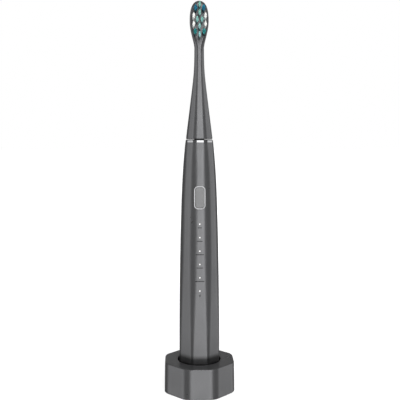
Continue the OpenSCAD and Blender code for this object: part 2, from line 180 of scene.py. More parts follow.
ROOT_Y = -PLATE_FRONT - 5.5
TIP_Y = box_mm("mint_tufts")[0].y
TUFT_DOME = 0.5
TUFT_TRIM = 0.12
TUFT_SUNK = 0.8

# ---------------------------------------------------------------- rings and lofts

# A flat side has vertices at these shares of its half length, and a corner has ARC_STEPS edges.
FLAT_STEPS = (-1, -0.93, -0.5, 0, 0.5, 0.93, 1)
ARC_STEPS = 10
SECTOR = len(FLAT_STEPS) + ARC_STEPS - 1
WELD = 0.0005


def smooth(low, high, x):
    """A share that goes smoothly from 0 where x is low to 1 where x is high."""
    t = min(1, max(0, (x - low) / (high - low)))
    return t * t * (3 - 2 * t)


def rounded_section(corners, radii, z):
    """A ring at height z round a convex outline of eight corners, each with its own rounding."""
    arcs = []
    for i, corner in enumerate(corners):
        back = corners[i - 1] - corner
        on = corners[(i + 1) % 8] - corner
        if back.length < 1e-4 or on.length < 1e-4:
            arcs.append([corner] * (ARC_STEPS + 1))
            continue
        half = back.angle(on) / 2
        reach = min(radii[i] / math.tan(half), 0.48 * back.length, 0.48 * on.length)
        radius = reach * math.tan(half)
        start = corner + back.normalized() * reach
        end = corner + on.normalized() * reach
        inwards = (back.normalized() + on.normalized()).normalized()
        middle = corner + inwards * radius / math.sin(half)
        first = math.atan2(start.y - middle.y, start.x - middle.x)
        sweep = math.atan2(end.y - middle.y, end.x - middle.x) - first
        sweep = (sweep + math.pi) % (2 * math.pi) - math.pi
        turns = [first + sweep * k / ARC_STEPS for k in range(ARC_STEPS + 1)]
        arcs.append([middle + Vector((math.cos(t), math.sin(t))) * radius for t in turns])
    ring = []
    for i in range(8):
        start, end = arcs[i - 1][-1], arcs[i][0]
        ring += [(start + end) / 2 + (end - start) / 2 * s for s in FLAT_STEPS]
        ring += arcs[i][1:-1]
    return [Vector((p.x, p.y, z)) for p in ring]


def octagon(half, corner, z):
    """A ring round a regular octagon, half as wide as half, its corners rounded to corner."""
    reach = half / math.cos(math.pi / 8)
    turns = [math.pi / 8 + k * math.pi / 4 for k in range(8)]
    points = [Vector((math.cos(t), math.sin(t))) * reach for t in turns]
    return rounded_section(points, [corner] * 8, z)


def circle(radius, z):
    """A ring in step with those of octagon()."""
    middle = len(FLAT_STEPS) // 2
    turns = [(i - middle) * 2 * math.pi / (8 * SECTOR) for i in range(8 * SECTOR)]
    return [Vector((math.cos(t) * radius, math.sin(t) * radius, z)) for t in turns]


def pole(z, y=0):
    """A ring of one point, which closes a skin."""
    return [Vector((0, y, z))]


def plate(half_x, half_z, corner, depth, steps=7):
    """A ring round a rounded rectangle in the XZ plane, at a depth along Y."""
    ring = []
    for side_x, side_z, first in ((1, 1, 0), (-1, 1, 90), (-1, -1, 180), (1, -1, 270)):
        for k in range(steps + 1):
            turn = math.radians(first + 90 * k / steps)
            x = side_x * (half_x - corner) + corner * math.cos(turn)
            z = side_z * (half_z - corner) + corner * math.sin(turn)
            ring.append(Vector((x, depth, z)))
    return ring


def disc(radius, depth, height=0.0, steps=7):
    """A round ring in step with those of plate(), at a depth along Y and a height."""
    return [p + Vector((0, 0, height)) for p in plate(radius, radius, radius, depth, steps)]


def button_ring(inset, depth):
    """A ring inside the outline of the button's rim."""
    least_corner = 0.6
    half_x, half_z = BUTTON_HALF - inset, BUTTON_LENGTH / 2 - inset
    corner = min(half_x, max(BUTTON_CORNER - inset, least_corner))
    return plate(half_x, half_z, corner, depth)


def bend(steps=5):
    """The (across, along) shares of a quarter round, from its start to its end."""
    turns = [math.pi / 2 * k / steps for k in range(steps + 1)]
    return [(1 - math.cos(t), math.sin(t)) for t in turns]


def loft_faces(rings, loop, first=0):
    """The vertices and faces of a skin through rings; a ring of one point closes an end."""
    points, starts = [], []
    for ring in rings:
        starts.append(first + len(points))
        points += ring
    faces = []
    pairs = list(zip(range(len(rings) - 1), range(1, len(rings))))
    if loop:
        pairs.append((len(rings) - 1, 0))
    for a, b in pairs:
        count = max(len(rings[a]), len(rings[b]))
        for i in range(count):
            j = (i + 1) % count
            if len(rings[a]) == 1:
                face = (starts[a], starts[b] + j, starts[b] + i)
            elif len(rings[b]) == 1:
                face = (starts[a] + i, starts[a] + j, starts[b])
            else:
                face = (starts[a] + i, starts[a] + j, starts[b] + j, starts[b] + i)
            faces.append(face)
    if not loop:
        for k in (0, -1):
            if len(rings[k]) > 1:
                whole = [starts[k] + i for i in range(len(rings[k]))]
                faces.append(tuple(whole if k else whole[::-1]))
    return points, faces


def make_object(name, points, faces, matrix=None, sharp=35):
    """A mesh object in metres, smooth apart from the edges that turn by more than sharp degrees."""
    mesh = bpy.data.meshes.new(name)
    if matrix is not None:
        points = [matrix @ p for p in points]
    mesh.from_pydata([p * MM for p in points], [], faces)
    mesh.validate()
    piece = bpy.data.objects.new(name, mesh)
    bpy.context.scene.collection.objects.link(piece)
    tidy_normals(piece, sharp)
    return piece


def tidy_normals(piece, sharp=35):
    """Welds the vertices, turns the faces outwards and smooths them between sharp edges."""
    work = bmesh.new()
    work.from_mesh(piece.data)
    bmesh.ops.remove_doubles(work, verts=work.verts, dist=WELD * MM)
    bmesh.ops.recalc_face_normals(work, faces=work.faces)
    work.to_mesh(piece.data)
    work.free()
    piece.data.polygons.foreach_set("use_smooth", [True] * len(piece.data.polygons))
    piece.data.set_sharp_from_angle(angle=math.radians(sharp))
    if "weighted" not in piece.modifiers:
        weighted = piece.modifiers.new("weighted", "WEIGHTED_NORMAL")
        weighted.keep_sharp = True


def loft(name, rings, loop=False, matrix=None, sharp=35):
    """One object from one skin; a loop joins its last ring to its first."""
    points, faces = loft_faces(rings, loop)
    return make_object(name, points, faces, matrix, sharp)


def lofts(name, solids, matrix=None, sharp=35):
    """One object from several closed skins."""
    points, faces = [], []
    for rings, loop in solids:
        more_points, more_faces = loft_faces(rings, loop, len(points))
        points += more_points
        faces += more_faces
    return make_object(name, points, faces, matrix, sharp)


def cut(piece, cutters):
    """Cuts the cutters out of a piece and removes them."""
    piece.modifiers.clear()
    for cutter in cutters:
        cutter.modifiers.clear()
        modifier = piece.modifiers.new("cut", "BOOLEAN")
        modifier.operation = "DIFFERENCE"
        modifier.solver = "EXACT"
        modifier.object = cutter
    bpy.context.view_layer.update()
    whole = piece.evaluated_get(bpy.context.evaluated_depsgraph_get())
    result = bpy.data.meshes.new_from_object(whole)
    piece.modifiers.clear()
    piece.data = result
    for cutter in cutters:
        bpy.data.objects.remove(cutter)
    tidy_normals(piece)
    return piece


def finish_piece(piece, body, material, slot, *replaced):
    """Gives a piece its material and its body, and hides the CAD nodes that it stands for."""
    piece.data.materials.clear()
    piece.data.materials.append(material)
    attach(piece, body)
    if replaced:
        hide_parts(*replaced)
    return piece


# ---------------------------------------------------------------- materials


def principled(name, color, roughness, metallic=0.0, **sockets):
    """A new material and its shader, with the values that are the same all over."""
    material = bpy.data.materials.new(name)
    material.use_nodes = True
    shader = material.node_tree.nodes["Principled BSDF"]
    shader.inputs["Base Color"].default_value = (*color, 1)
    shader.inputs["Roughness"].default_value = roughness
    shader.inputs["Metallic"].default_value = metallic
    for socket, value in sockets.items():
        shader.inputs[socket.replace("_", " ")].default_value = value
    return material, shader


def noise(material, size, detail=3.0, stretch=(1, 1, 1)):
    """A noise with features of about size millimetres, longer where stretch is larger."""
    tree = material.node_tree
    place = tree.nodes.new("ShaderNodeTexCoord")
    mapping = tree.nodes.new("ShaderNodeMapping")
    mapping.inputs["Scale"].default_value = [1 / s for s in stretch]
    texture = tree.nodes.new("ShaderNodeTexNoise")
    texture.inputs["Scale"].default_value = 1 / (size * MM)
    texture.inputs["Detail"].default_value = detail
    tree.links.new(place.outputs["Object"], mapping.inputs["Vector"])
    tree.links.new(mapping.outputs["Vector"], texture.inputs["Vector"])
    return texture.outputs["Fac"]


def cells(material, size):
    """The distance to the nearest of many points about size millimetres apart."""
    tree = material.node_tree
    place = tree.nodes.new("ShaderNodeTexCoord")
    texture = tree.nodes.new("ShaderNodeTexVoronoi")
    texture.inputs["Scale"].default_value = 1 / (size * MM)
    tree.links.new(place.outputs["Object"], texture.inputs["Vector"])
    return texture.outputs["Distance"]


def spread(material, value, low, high, start=0.3, end=0.7):
    """The value between start and end, spread out between low and high."""
    tree = material.node_tree
    ramp = tree.nodes.new("ShaderNodeMapRange")
    ramp.inputs["From Min"].default_value = start
    ramp.inputs["From Max"].default_value = end
    ramp.inputs["To Min"].default_value = low
    ramp.inputs["To Max"].default_value = high
    tree.links.new(value, ramp.inputs["Value"])
    return ramp.outputs["Result"]


def mixed(material, factor, first, second):
    """Two colours mixed by a factor; a colour is three numbers or another node's output."""
    tree = material.node_tree
    mix = tree.nodes.new("ShaderNodeMix")
    mix.data_type = "RGBA"
    tree.links.new(factor, mix.inputs["Factor"])
    for socket, color in (("A", first), ("B", second)):
        entry = [i for i in mix.inputs if i.name == socket and i.type == "RGBA"][0]
        if isinstance(color, bpy.types.NodeSocket):
            tree.links.new(color, entry)
        else:
            entry.default_value = (*color, 1)
    return [o for o in mix.outputs if o.type == "RGBA"][0]


def relief(material, shader, *heights):
    """Bumps on the surface, each a height and its depth in millimetres."""
    tree = material.node_tree
    below = None
    for height, depth in heights:
        bump = tree.nodes.new("ShaderNodeBump")
        bump.inputs["Strength"].default_value = 1.0
        bump.inputs["Distance"].default_value = depth * MM
        tree.links.new(height, bump.inputs["Height"])
        if below is not None:
            tree.links.new(below, bump.inputs["Normal"])
        below = bump.outputs["Normal"]
    tree.links.new(below, shader.inputs["Normal"])


def link(material, output, shader, socket):
    """Feeds a node's output into one of the shader's sockets."""
    material.node_tree.links.new(output, shader.inputs[socket])


def height_fade(material, low, high, bottom, top):
    """A value that goes from bottom at the height low to top at the height high."""
    tree = material.node_tree
    place = tree.nodes.new("ShaderNodeTexCoord")
    split = tree.nodes.new("ShaderNodeSeparateXYZ")
    tree.links.new(place.outputs["Object"], split.inputs["Vector"])
    return spread(material, split.outputs["Z"], bottom, top, low * MM, high * MM)


def graphite_paint(name, painted_foot_shade=False):
    """Satin graphite paint with a fine metallic fleck, and optionally painted shade that makes it
    nearly black at the foot.
    """
    material, shader = principled(name, (0.2, 0.2, 0.205), 0.3, 0.7)
    fleck = spread(material, noise(material, 0.16, 1.0), 0, 1, 0.35, 0.65)
    cloud = spread(material, noise(material, 14, 4.0), 0, 1)
    toned = mixed(material, fleck, (0.185, 0.186, 0.192), (0.225, 0.226, 0.232))
    if painted_foot_shade:
        # Painted shade: a faint darkening up the handle, and the foot nearly black.
        shade = height_fade(material, FOOT_FADE, SHADE_TOP, 0.12, 0)
        toned = mixed(material, shade, toned, (0, 0, 0))
        foot = height_fade(material, FOOT_DARK, FOOT_FADE, 1, 0)
        toned = mixed(material, foot, toned, FOOT_SHADE_COLOR)
    link(material, toned, shader, "Base Color")
    link(material, spread(material, cloud, 0.27, 0.34, 0, 1), shader, "Roughness")
    relief(material, shader, (noise(material, 0.22, 2.0), 0.004), (noise(material, 3.0, 2.0), 0.01))
    return material


def plain_plastic(name, color, roughness=0.5, grain=0.25, depth=0.02):
    """Moulded plastic with a fine grain and slightly uneven colour."""
    material, shader = principled(name, color, roughness)
    cloud = spread(material, noise(material, 5, 3.0), 0, 1)
    darker = [c * 0.86 for c in color]
    lighter = [min(1, c * 1.1) for c in color]
    link(material, mixed(material, cloud, darker, lighter), shader, "Base Color")
    link(material, spread(material, cloud, roughness - 0.06, roughness + 0.06, 0, 1),
         shader, "Roughness")
    relief(material, shader, (cells(material, grain), depth))
    return material


def bare_metal(name, color, roughness, stretch=(1, 1, 1), depth=0.002):
    """Metal with fine tool marks that run where stretch is large."""
    material, shader = principled(name, color, roughness, 1.0)
    marks = noise(material, 0.12, 4.0, stretch)
    cloud = noise(material, 3, 3.0)
    darker = [c * 0.85 for c in color]
    link(material, mixed(material, spread(material, cloud, 0, 1), darker, color),
         shader, "Base Color")
    link(material, spread(material, marks, roughness * 0.7, roughness * 1.4), shader, "Roughness")
    relief(material, shader, (marks, depth))
    return material


def soft_rubber(name, color, roughness=0.7):
    """Matt rubber with a fine skin and a little dust in patches."""
    material, shader = principled(name, color, roughness)
    dust = spread(material, noise(material, 1.2, 5.0), 0, 0.5, 0.5, 0.8)
    dusty = [c + 0.05 for c in color]
    link(material, mixed(material, dust, color, dusty), shader, "Base Color")
    link(material, spread(material, dust, roughness - 0.08, roughness + 0.1, 0, 0.5),
         shader, "Roughness")
    relief(material, shader, (noise(material, 0.3, 3.0), 0.02))
    return material


def windings(name, color):
    """Enamelled wire in close layers round the Z axis, with painted shade in the grooves between
    the turns.
    """
    wire = 0.3
    # The length of one wave at a scale of one.
    unit_wave = 0.314
    material, shader = principled(name, color, 0.3, 0.9)
    tree = material.node_tree
    place = tree.nodes.new("ShaderNodeTexCoord")
    wave = tree.nodes.new("ShaderNodeTexWave")
    wave.bands_direction = "Z"
    wave.inputs["Scale"].default_value = unit_wave / (wire * MM)
    wave.inputs["Distortion"].default_value = 0.4
    tree.links.new(place.outputs["Object"], wave.inputs["Vector"])
    # Painted shade: the wire is darker in the grooves between the turns, where the bump is low.
    groove_shade = [c * 0.45 for c in color]
    link(material, mixed(material, wave.outputs["Fac"], groove_shade, color), shader, "Base Color")
    relief(material, shader, (wave.outputs["Fac"], 0.08))
    return material


def bristle(name, root, tip, upper_tip, glow=0.0):
    """Nylon filaments, darker at the root, partly a deeper colour and partly painted shade, with
    another tone higher up the head.

    The glow is painted light, which makes the tips brighter than the lamps light them.
    """
    # The emission is a painted glow on the filaments, not a lamp.
    material, shader = principled(name, tip, 0.35, Subsurface_Weight=0.15, Emission_Strength=glow)
    shader.inputs["Emission Color"].default_value = (*tip, 1)
    shader.inputs["Subsurface Radius"].default_value = (0.0008, 0.0008, 0.0008)
    tree = material.node_tree
    place = tree.nodes.new("ShaderNodeTexCoord")
    split = tree.nodes.new("ShaderNodeSeparateXYZ")
    tree.links.new(place.outputs["Object"], split.inputs["Vector"])
    # Darker towards the root: partly the nylon's deeper colour, partly painted shade between the
    # filaments.
    along = spread(material, split.outputs["Y"], 0, 1, ROOT_Y * MM, TIP_Y * MM)
    change_low, change_high = OVAL_MIDDLE - 8, OVAL_MIDDLE + 5
    higher = spread(material, split.outputs["Z"], 0, 1, change_low * MM, change_high * MM)
    streak = spread(material, noise(material, 0.3, 2.0, (1, 12, 1)), 0.85, 1.1)
    tone = tree.nodes.new("ShaderNodeMath")
    tone.operation = "MULTIPLY"
    tree.links.new(along, tone.inputs[0])
    tree.links.new(streak, tone.inputs[1])
    tips = mixed(material, higher, tip, upper_tip)
    link(material, mixed(material, tone.outputs["Value"], root, tips), shader, "Base Color")
    link(material, spread(material, streak, 0.3, 0.45, 0.85, 1.1), shader, "Roughness")
    return material


def touch_button():
    """Soft-touch coating with a fine pebble grain, lighter than the housing."""
    material, shader = principled("button_rubber", (0.3, 0.3, 0.305), 0.4, 0.55)
    grain = cells(material, 0.32)
    fleck = spread(material, grain, 0, 1, 0.1, 0.6)
    link(material, mixed(material, fleck, (0.22, 0.22, 0.225), (0.34, 0.34, 0.345)),
         shader, "Base Color")
    link(material, spread(material, fleck, 0.36, 0.46, 0, 1), shader, "Roughness")
    relief(material, shader, (grain, 0.03))
    return material


def light_window(name, glow):
    """Milky clear plastic over an indicator light."""
    material, shader = principled(name, (0.9, 0.9, 0.88), 0.2, Transmission_Weight=0.15,
                                  Emission_Strength=glow)
    shader.inputs["Emission Color"].default_value = (1, 0.98, 0.94, 1)
    cloud = spread(material, noise(material, 0.3, 2.0), 0, 1)
    link(material, mixed(material, cloud, (0.82, 0.83, 0.82), (0.96, 0.96, 0.95)),
         shader, "Base Color")
    link(material, spread(material, cloud, 0.12, 0.28, 0, 1), shader, "Roughness")
    return material


MINT, TEAL, WHITE = "mint_bristle", "teal_bristle", "white_bristle"

LOOKS = {
    "graphite_paint": graphite_paint("graphite_paint"),
    # The handle's paint carries painted shade at its foot.
    "handle_paint_painted_shade": graphite_paint("handle_paint_painted_shade", painted_foot_shade=True),
    "dark_plastic": plain_plastic("dark_plastic", (0.03, 0.03, 0.032), 0.55),
    "black_rubber": soft_rubber("black_rubber", (0.012, 0.012, 0.012)),
    "polished_metal": bare_metal("polished_metal", (0.66, 0.665, 0.68), 0.12, (1, 1, 0.2), 0.0006),
    "screw_steel": bare_metal("screw_steel", (0.6, 0.6, 0.62), 0.3),
    "pressed_steel": bare_metal("pressed_steel", (0.58, 0.585, 0.6), 0.26, (1, 1, 0.08)),
    "circuit_laminate": plain_plastic("circuit_laminate", (0.01, 0.09, 0.035), 0.35, 0.9, 0.03),
    "component_black": plain_plastic("component_black", (0.02, 0.02, 0.022), 0.45),
    "bobbin_plastic": plain_plastic("bobbin_plastic", (0.62, 0.6, 0.5), 0.45),
    "copper_wire": windings("copper_wire", (0.62, 0.24, 0.09)),
    "ferrite": soft_rubber("ferrite", (0.03, 0.03, 0.032), 0.55),
    "clear_guide": light_window("clear_guide", 0.35),
    "led_white": light_window("led_white", 0.2),
    "chassis_plastic": plain_plastic("chassis_plastic", (0.58, 0.58, 0.54), 0.5),
    "cell_wrap": plain_plastic("cell_wrap", (0.02, 0.07, 0.28), 0.3, 1.5, 0.02),
    "bronze": bare_metal("bronze", (0.5, 0.33, 0.15), 0.4),
    "button_rubber": touch_button(),
    "rim_metal": bare_metal("rim_metal", (0.85, 0.855, 0.87), 0.38, (1, 1, 0.2), 0.0006),
    "silicone": soft_rubber("silicone", (0.035, 0.035, 0.037), 0.5),
    "socket_plastic": plain_plastic("socket_plastic", (0.7, 0.7, 0.66), 0.45),
    # The root colours are partly painted shade, and the last number of each is a painted glow.
    MINT: bristle(MINT, (0.0, 0.07, 0.08), (0.62, 1.0, 1.0), (0.54, 0.98, 0.86), 0.03),
    WHITE: bristle(WHITE, (0.7, 0.75, 0.75), (1.0, 1.0, 0.98), (1.0, 1.0, 0.98), 0.15),
    TEAL: bristle(TEAL, (0.0, 0.05, 0.08), (0.08, 0.56, 0.55), (0.06, 0.41, 0.6), 0.01),
    "print": plain_plastic("print", (0.012, 0.012, 0.013), 0.45, 0.2, 0.002),
}


def dress_cad_nodes():
    """Every CAD node gets the material of its slot."""
    for entry in frame["record"]["subparts"]:
        piece = frame["nodes"][entry["node"]]
        piece.data.materials.clear()
        piece.data.materials.append(LOOKS[entry["material_slot"]])


# ---------------------------------------------------------------- charger


def base_wall(z):
    """Half the charger's width at height z."""
    share = (z - BASE_LOW.z) / (BASE_HIGH.z - BASE_LOW.z)
    return BASE_HALF - BASE_DRAFT * share


def base_ring(inset, z):
    """The charger's outline at height z, made smaller all round by inset."""
    half = base_wall(z) - inset
    return octagon(half, BASE_CORNER * BASE_HALF - inset, z)


def rear_frame(z):
    """A frame at height z whose Z axis points out through the rear wall."""
    return Matrix.Translation((0, 0, z)) @ Matrix.Rotation(math.radians(-90), 4, "X")


def make_base_housing():
    """The charger's shell: inside, foot, wall, top, well and post, as one closed skin."""
    top_wall, side_wall, post_wall = 1.9, 2, 0.8
    roof = BASE_HIGH.z - top_wall
    bore_end = POST_TOP - post_wall
    well_edge = 0.45
    post_edge = 0.7
    floor_bend = 0.5
    inner_corner = BASE_CORNER * BASE_HALF - side_wall
    rings = [pole(bore_end), circle(ROD_BORE, bore_end)]
    rings += [circle(ROD_BORE, WELL_UNDERSIDE), circle(WELL_SKIN_RADIUS, WELL_UNDERSIDE)]
    rings += [circle(WELL_SKIN_RADIUS, roof), octagon(COVER_HALF, inner_corner, roof)]
    rings += [octagon(COVER_HALF, inner_corner, z) for z in (roof - 1, 4, BASE_LOW.z)]
    for across, along in bend():
        rings.append(base_ring(BASE_EDGE * (1 - along), BASE_LOW.z + BASE_EDGE * across))
    steps = 8
    low, high = BASE_LOW.z + BASE_EDGE, BASE_HIGH.z - BASE_EDGE
    rings += [base_ring(0, low + (high - low) * k / steps) for k in range(1, steps)]
    for across, along in bend():
        rings.append(base_ring(BASE_EDGE * across, high + BASE_EDGE * along))
    rings.append(base_ring(2.5, BASE_HIGH.z))
    rings.append(circle(WELL_RADIUS + 2, BASE_HIGH.z))
    for across, along in bend():
        z = BASE_HIGH.z - well_edge * across
        rings.append(circle(WELL_RADIUS + well_edge * (1 - along), z))
    rings.append(circle(WELL_RADIUS, (BASE_HIGH.z + WELL_FLOOR) / 2))
    for across, along in bend():
        z = WELL_FLOOR + floor_bend * (1 - along)
        rings.append(circle(WELL_RADIUS - floor_bend * across, z))
    for across, along in bend():
        z = WELL_FLOOR + floor_bend * across
        rings.append(circle(POST_RADIUS + floor_bend * (1 - along), z))
    for across, along in bend():
        z = POST_TOP - post_edge * (1 - along)
        rings.append(circle(POST_RADIUS - post_edge * across, z))
    rings += [circle(POST_RADIUS / 3, POST_TOP), pole(POST_TOP)]
    housing = loft("base_housing_shell", rings)

    gland_low, gland_high = box_mm("cord_gland")
    radius = (gland_high.x - gland_low.x) / 2 + 0.05
    seat = gland_high.y - GLAND_FLANGE
    past = 2
    hole = [circle(GLAND_HOLE, COVER_HALF - past), circle(GLAND_HOLE, seat)]
    hole += [circle(radius, seat), circle(radius, BASE_HALF + past)]
    place = rear_frame((gland_low.z + gland_high.z) / 2)
    cut(housing, [loft("gland_cutter", hole, matrix=place)])
    finish_piece(housing, "charger", LOOKS["graphite_paint"], "graphite_paint", "base_housing")


def make_cord_gland():
    """The rubber gland in the rear wall, a turned piece with a rounded mouth."""
    low, high = box_mm("cord_gland")
    flange = (high.x - low.x) / 2 - 0.02
    inner_flange = flange - 0.05
    waist = GLAND_HOLE - 0.05
    inside = COVER_HALF - 0.02
    seat = high.y - GLAND_FLANGE
    chamfer, edge, lip = 0.3, 0.2, 0.3
    rings = [circle(GLAND_BORE, low.y), circle(flange - chamfer, low.y)]
    rings += [circle(inner_flange, low.y + chamfer), circle(inner_flange, inside)]
    rings += [circle(waist, inside), circle(waist, seat), circle(flange, seat)]
    for across, along in bend():
        rings.append(circle(flange - edge * across, high.y - edge * (1 - along)))
    groove = (flange + GLAND_BORE) / 2 + 0.3
    groove_half, groove_depth = 0.2, 0.15
    rings += [circle(groove + groove_half, high.y), circle(groove, high.y - groove_depth)]
    rings.append(circle(groove - groove_half, high.y))
    for across, along in bend():
        rings.append(circle(GLAND_BORE + lip * (1 - along), high.y - lip * across))
    place = rear_frame((low.z + high.z) / 2)
    gland = loft("cord_gland_turned", rings, loop=True, matrix=place)
    finish_piece(gland, "charger", LOOKS["black_rubber"], "black_rubber", "cord_gland")


def make_feet():
    """Four rubber feet, each a disc with a rounded rim and a shallow dish."""
    top_edge, edge, rim, slope, dish = 0.1, 0.3, 1, 0.3, 0.15
    solids = []
    for low, high in islands("rubber_feet"):
        middle = (low + high) / 2
        radius = (high.x - low.x) / 2
        place = Vector((middle.x, middle.y, 0))
        rings = [pole(high.z), circle(radius - top_edge, high.z)]
        rings.append(circle(radius, high.z - top_edge))
        for across, along in bend():
            rings.append(circle(radius - edge * across, low.z + edge * (1 - along)))
        rings += [circle(radius - rim, low.z), circle(radius - rim - slope, low.z + dish)]
        rings.append(pole(low.z + dish))
        solids.append(([[p + place for p in ring] for ring in rings], False))
    feet = lofts("rubber_feet_moulded", solids)
    finish_piece(feet, "charger", LOOKS["black_rubber"], "black_rubber", "rubber_feet")


# ---------------------------------------------------------------- handle


def handle_half(z):
    """Half the handle's width across flats at height z."""
    u = max(0, z - WIDEST_Z) / (RING_BOTTOM + 0.1 - WIDEST_Z)
    return HANDLE_HALF - SLOW_TAPER * u ** 2 - FAST_TAPER * u ** 8


def handle_ring(z):
    """The handle's outline: crisp corners low down, soft ones further up, crisper at the ring."""
    half = handle_half(z)
    softer = 0.5 * smooth(10, 105, z)
    crisper = 0.15 * smooth(150, 169, z)
    return octagon(half, half * (CRISP_CORNER + softer - crisper), z)


def front_frame(z):
    """The frame of the front facet at height z: X across, Y inwards, Z along the facet."""
    lean = math.atan((handle_half(z - 1) - handle_half(z + 1)) / 2)
    place = Matrix.Translation((0, -handle_half(z), z))
    return place @ Matrix.Rotation(-lean, 4, "X")


def light_places():
    """The heights of the middles of the six indicator lights."""
    return [(low.z + high.z) / 2 for low, high in islands("indicator_leds")]


def make_handle_shell():
    """The faceted housing with its bore, cut for the button and the lights."""
    steps = 64
    rings = [handle_ring(SHELL_BOTTOM + (RING_BOTTOM - SHELL_BOTTOM) * k / steps)
             for k in range(steps + 1)]
    mouth = 4
    rings += [circle(SPIGOT_RADIUS, RING_BOTTOM), circle(SPIGOT_RADIUS, SPIGOT_TOP)]
    rings += [circle(mouth, SPIGOT_TOP), circle(mouth, SEAL_LEDGE)]
    rings += [circle(radius, z) for radius, z in HANDLE_BORE]
    rings.append(circle(HANDLE_BORE[-1][0], SHELL_BOTTOM))
    shell = loft("handle_shell_faceted", rings, loop=True)

    recess_wider = 0.7
    place = front_frame(BUTTON_Z)
    pocket_rings = [button_ring(0, y) for y in (-2, POCKET_FLOOR)]
    pocket = loft("pocket_cutter", pocket_rings, matrix=place)
    recess_rings = [button_ring(-recess_wider, y) for y in (RECESS_TOP, POCKET_FLOOR + 0.2)]
    recess = loft("recess_cutter", recess_rings, matrix=place)
    through = (-HANDLE_HALF - 2.5, -9)
    holes = [([disc(LIGHT_HOLE, y, z) for y in through], False) for z in light_places()]
    cut(shell, [pocket, recess, lofts("light_cutter", holes)])
    finish_piece(shell, "handle", LOOKS["handle_paint_painted_shade"], "graphite_paint", "handle_shell")


def make_bottom_cap():
    """The foot of the handle, with the socket for the charging post."""
    low = box_mm("bottom_cap")[0].z
    edge = 0.7
    lip = 0.3
    socket = POST_RADIUS + 0.35
    roof = POST_TOP + 1.4
    rings = [pole(roof), circle(socket, roof)]
    for across, along in bend():
        rings.append(circle(socket + lip * across, low + lip * (1 - along)))
    half = handle_half(0)
    for across, along in bend():
        inset = edge * (1 - along)
        rings.append(octagon(half - inset, CRISP_CORNER * half, low + edge * across))
    plug, plug_top, plug_inside = 11.1, 26, 9.3
    groove, groove_low, groove_high = 10.3, 17.8, 19.6
    floor = SHELL_BOTTOM + 0.6
    wall = 1.2
    rings += [octagon(half, CRISP_CORNER * half, SHELL_BOTTOM), circle(plug, SHELL_BOTTOM)]
    rings += [circle(plug, groove_low), circle(groove, groove_low)]
    rings += [circle(groove, groove_high), circle(plug, groove_high)]
    rings += [circle(plug, plug_top), circle(plug_inside, plug_top), circle(plug_inside, floor)]
    rings += [circle(socket + wall, floor), circle(socket + wall, roof + wall)]
    rings.append(pole(roof + wall))
    cap = loft("bottom_cap_faceted", rings)
    finish_piece(cap, "handle", LOOKS["handle_paint_painted_shade"], "graphite_paint", "bottom_cap")


def make_collar_ring():
    """The bright ring between the handle and the brush head."""
    half = RING_HALF
    corner = RING_CORNER * half
    edge = 0.08
    lean = 0.06
    rings = [circle(SPIGOT_RADIUS, RING_BOTTOM), octagon(half - edge, corner, RING_BOTTOM)]
    rings.append(octagon(half, corner, RING_BOTTOM + edge))
    rings.append(octagon(half - lean, corner, RING_TOP - edge))
    rings += [octagon(half - lean - edge, corner, RING_TOP), circle(SPIGOT_RADIUS, RING_TOP)]
    ring = loft("collar_ring_polished", rings, loop=True)
    finish_piece(ring, "handle", LOOKS["polished_metal"], "polished_metal", "collar_ring")


def make_shaft_seal():
    """The rubber boot round the shaft, with two soft folds."""
    low, high = box_mm("shaft_seal")
    bore, neck, taper, lip = 2, 3.9, 1.25, 2.45
    folds, fold_depth, fold_fade = 2, 0.16, 0.4
    steps = 24
    rings = [circle(bore, low.z), circle(SEAL_RADIUS, low.z)]
    rings += [circle(SEAL_RADIUS, SEAL_LEDGE), circle(neck, SEAL_LEDGE)]
    rise = high.z - 0.25 - SPIGOT_TOP
    for k in range(steps + 1):
        share = k / steps
        fold = fold_depth * math.sin(share * 2 * folds * math.pi) * (1 - share * fold_fade)
        rings.append(circle(neck - taper * share + fold, SPIGOT_TOP + rise * share))
    rings += [circle(lip, high.z), circle(bore, high.z)]
    seal = loft("shaft_seal_boot", rings, loop=True)
    finish_piece(seal, "handle", LOOKS["silicone"], "silicone", "shaft_seal")


def make_button_rim():
    """The bright rim round the button: a flat crest with rounded edges."""
    edge = 0.1
    rise = RIM_PROUD + edge
    rings = [button_ring(0, RIM_DEPTH)]
    for across, along in bend():
        rings.append(button_ring(edge * across, edge - rise * along))
    for across, along in bend():
        rings.append(button_ring(RIM_WALL - edge * (1 - along), rise * across - RIM_PROUD))
    rings.append(button_ring(RIM_WALL, RIM_DEPTH))
    rim = loft("button_rim_polished", rings, loop=True, matrix=front_frame(BUTTON_Z))
    finish_piece(rim, "handle", LOOKS["rim_metal"], "polished_metal", "button_rim")


def make_power_button():
    """The button's cap with a slight crown, its flange and its stem."""
    inset = RIM_WALL + 0.1
    edge = 0.3
    crown = 0.04
    face = -0.01
    flange, flange_top, flange_bottom = 0.2, 1.35, 1.7
    stem, stem_end = 1, 2.5
    rings = []
    for share in (0, 0.3, 0.55, 0.75, 0.9):
        reach = (BUTTON_HALF - inset - edge) * share * 0.93
        rings.append(button_ring(BUTTON_HALF - 0.2 - reach, face - crown * (1 - share ** 2)))
    for across, along in bend():
        rings.append(button_ring(inset + edge * (1 - along), face + edge * across))
    rings += [button_ring(inset, flange_top), button_ring(flange, flange_top)]
    rings.append(button_ring(flange, flange_bottom))
    rings += [disc(stem, flange_bottom), disc(stem, stem_end)]
    button = loft("power_button_cap", rings, matrix=front_frame(BUTTON_Z))
    finish_piece(button, "button", LOOKS["button_rubber"], "button_rubber", "power_button")


